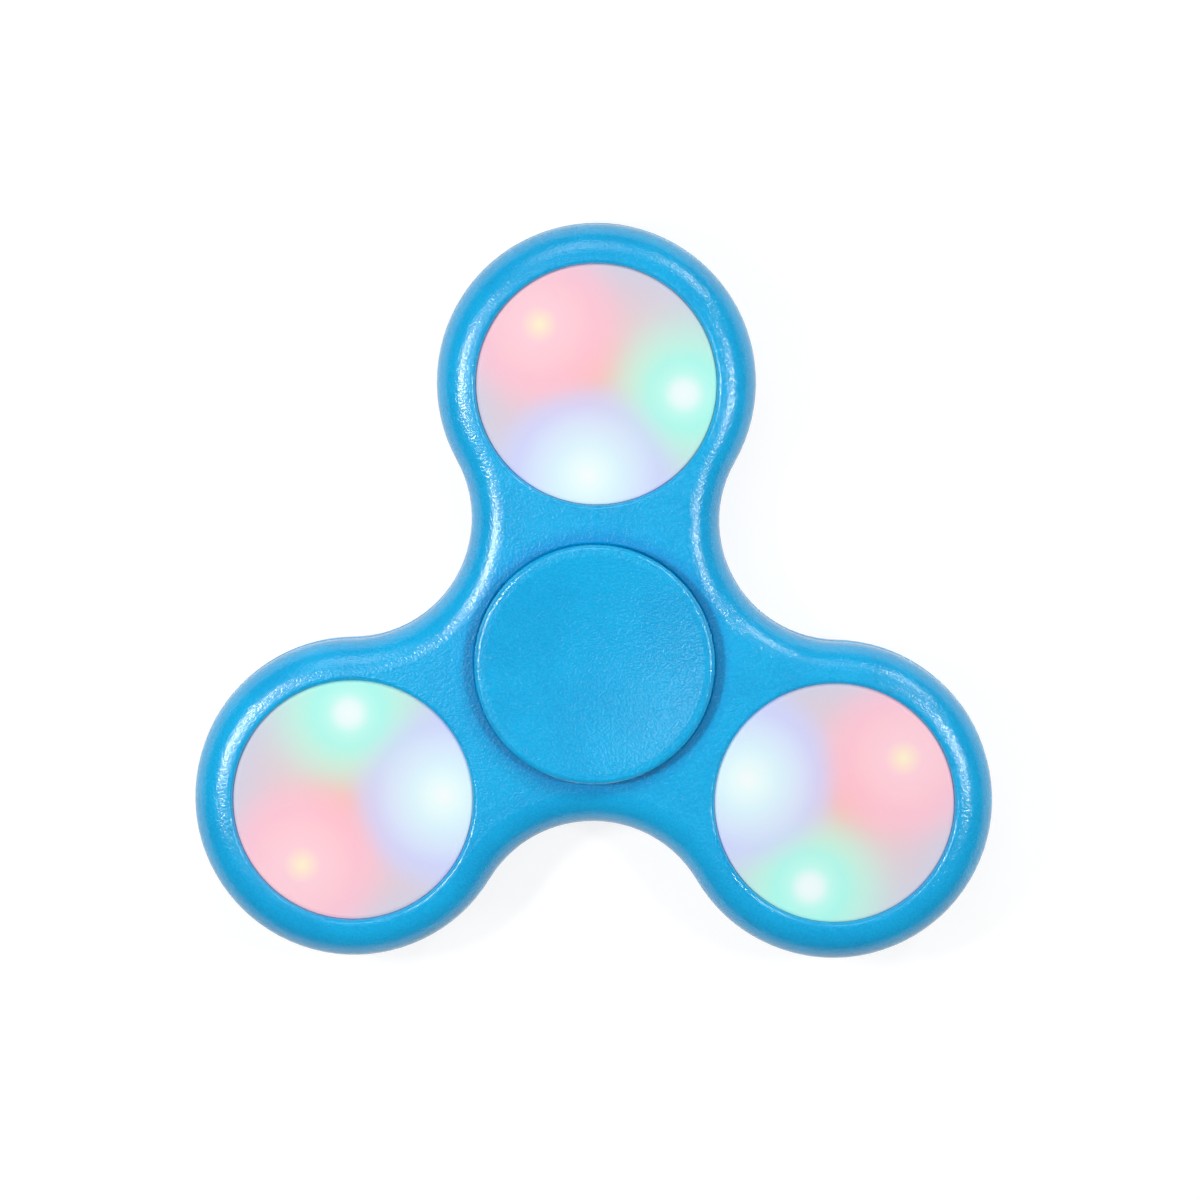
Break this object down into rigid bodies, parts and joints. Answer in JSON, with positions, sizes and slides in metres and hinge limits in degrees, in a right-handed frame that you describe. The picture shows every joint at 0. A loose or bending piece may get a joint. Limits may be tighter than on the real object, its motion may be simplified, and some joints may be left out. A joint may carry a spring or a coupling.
{
  "type": "fidget spinner",
  "caption": "Lobed hand spinner: a moulded body with a light-up push lens in each lobe turns on a ball bearing between dished finger caps.",
  "frame": {"origin": "centre of the ball bearing, on the spin axis, midway between the body's two faces", "axes": "+Z along the spin axis, out of the front, the side with the push lenses; +Y towards the first lobe; +X to the right when the front is looked at with the first lobe up"},
  "size_m": [0.0748, 0.0688, 0.0126],
  "materials": {
    "satin_blue": "satin, sprayed",
    "frosted_lens": "milky, frosted, lit from behind",
    "white_plastic": "moulded, satin",
    "bearing_steel": "ground",
    "ball_chrome": "polished",
    "pressed_steel": "pressed sheet",
    "screw_steel": "zinc plated",
    "cell_steel": "nickel plated",
    "contact_nickel": "nickel plated",
    "cage_nylon": "moulded nylon",
    "board_green": "solder resist",
    "component_black": "moulded resin",
    "switch_housing": "moulded",
    "led_red": "clear tinted resin",
    "led_green": "clear tinted resin",
    "led_blue": "clear tinted resin"
  },
  "bodies": {
    "grip": {"front_cap": "satin_blue", "back_cap": "satin_blue", "bearing_inner_race": "bearing_steel"},
    "rotor": {"body_frame": "satin_blue", "bearing_outer_race": "bearing_steel", "bearing_shield_front": "pressed_steel", "bearing_shield_back": "pressed_steel", "cover_screws": "screw_steel", "board_resistors": "component_black", "light_housing_1": "white_plastic", "circuit_board_1": "board_green", "red_led_1": "led_red", "green_led_1": "led_green", "blue_led_1": "led_blue", "control_chip_1": "component_black", "switch_base_1": "switch_housing", "switch_dome_1": "pressed_steel", "button_cells_1": "cell_steel", "front_contacts_1": "contact_nickel", "back_contacts_1": "contact_nickel", "battery_cover_1": "white_plastic", "light_housing_2": "white_plastic", "circuit_board_2": "board_green", "red_led_2": "led_red", "green_led_2": "led_green", "blue_led_2": "led_blue", "control_chip_2": "component_black", "switch_base_2": "switch_housing", "switch_dome_2": "pressed_steel", "button_cells_2": "cell_steel", "front_contacts_2": "contact_nickel", "back_contacts_2": "contact_nickel", "battery_cover_2": "white_plastic", "light_housing_3": "white_plastic", "circuit_board_3": "board_green", "red_led_3": "led_red", "green_led_3": "led_green", "blue_led_3": "led_blue", "control_chip_3": "component_black", "switch_base_3": "switch_housing", "switch_dome_3": "pressed_steel", "button_cells_3": "cell_steel", "front_contacts_3": "contact_nickel", "back_contacts_3": "contact_nickel", "battery_cover_3": "white_plastic"},
    "cage": {"bearing_cage": "cage_nylon"},
    "button_1": {"push_lens_1": "frosted_lens", "switch_plunger_1": "component_black"},
    "button_2": {"push_lens_2": "frosted_lens", "switch_plunger_2": "component_black"},
    "button_3": {"push_lens_3": "frosted_lens", "switch_plunger_3": "component_black"},
    "ball_1": {"bearing_ball_1": "ball_chrome"},
    "ball_2": {"bearing_ball_2": "ball_chrome"},
    "ball_3": {"bearing_ball_3": "ball_chrome"},
    "ball_4": {"bearing_ball_4": "ball_chrome"},
    "ball_5": {"bearing_ball_5": "ball_chrome"},
    "ball_6": {"bearing_ball_6": "ball_chrome"},
    "ball_7": {"bearing_ball_7": "ball_chrome"}
  },
  "joints": [
    {"name": "spin", "type": "hinge", "parent": "grip", "child": "rotor", "pos_m": [0, 0, 0], "axis": [0, 0, 1], "continuous": true},
    {"name": "cage_orbit", "type": "hinge", "parent": "grip", "child": "cage", "pos_m": [0, 0, 0], "axis": [0, 0, 1], "continuous": true},
    {"name": "ball_roll_1", "type": "hinge", "parent": "cage", "child": "ball_1", "pos_m": [0.0075, 0, 0], "axis": [0, 0, 1], "continuous": true},
    {"name": "ball_roll_2", "type": "hinge", "parent": "cage", "child": "ball_2", "pos_m": [0.00468, 0.00586, 0], "axis": [0, 0, 1], "continuous": true},
    {"name": "ball_roll_3", "type": "hinge", "parent": "cage", "child": "ball_3", "pos_m": [-0.00167, 0.00731, 0], "axis": [0, 0, 1], "continuous": true},
    {"name": "ball_roll_4", "type": "hinge", "parent": "cage", "child": "ball_4", "pos_m": [-0.00676, 0.00325, 0], "axis": [0, 0, 1], "continuous": true},
    {"name": "ball_roll_5", "type": "hinge", "parent": "cage", "child": "ball_5", "pos_m": [-0.00676, -0.00325, 0], "axis": [0, 0, 1], "continuous": true},
    {"name": "ball_roll_6", "type": "hinge", "parent": "cage", "child": "ball_6", "pos_m": [-0.00167, -0.00731, 0], "axis": [0, 0, 1], "continuous": true},
    {"name": "ball_roll_7", "type": "hinge", "parent": "cage", "child": "ball_7", "pos_m": [0.00468, -0.00586, 0], "axis": [0, 0, 1], "continuous": true},
    {"name": "lens_press_1", "type": "slide", "parent": "rotor", "child": "button_1", "axis": [0, 0, -1], "range_m": [0, 0.00025], "stiffness_N_per_m": 4000, "deforming": ["switch_dome_1"]},
    {"name": "lens_press_2", "type": "slide", "parent": "rotor", "child": "button_2", "axis": [0, 0, -1], "range_m": [0, 0.00025], "stiffness_N_per_m": 4000, "deforming": ["switch_dome_2"]},
    {"name": "lens_press_3", "type": "slide", "parent": "rotor", "child": "button_3", "axis": [0, 0, -1], "range_m": [0, 0.00025], "stiffness_N_per_m": 4000, "deforming": ["switch_dome_3"]}
  ],
  "couplings": [
    {"joint": "cage_orbit", "follows": "spin", "ratio": 0.6323},
    {"joint": "ball_roll_1", "follows": "spin", "ratio": 1.7573},
    {"joint": "ball_roll_2", "follows": "spin", "ratio": 1.7573},
    {"joint": "ball_roll_3", "follows": "spin", "ratio": 1.7573},
    {"joint": "ball_roll_4", "follows": "spin", "ratio": 1.7573},
    {"joint": "ball_roll_5", "follows": "spin", "ratio": 1.7573},
    {"joint": "ball_roll_6", "follows": "spin", "ratio": 1.7573},
    {"joint": "ball_roll_7", "follows": "spin", "ratio": 1.7573}
  ]
}
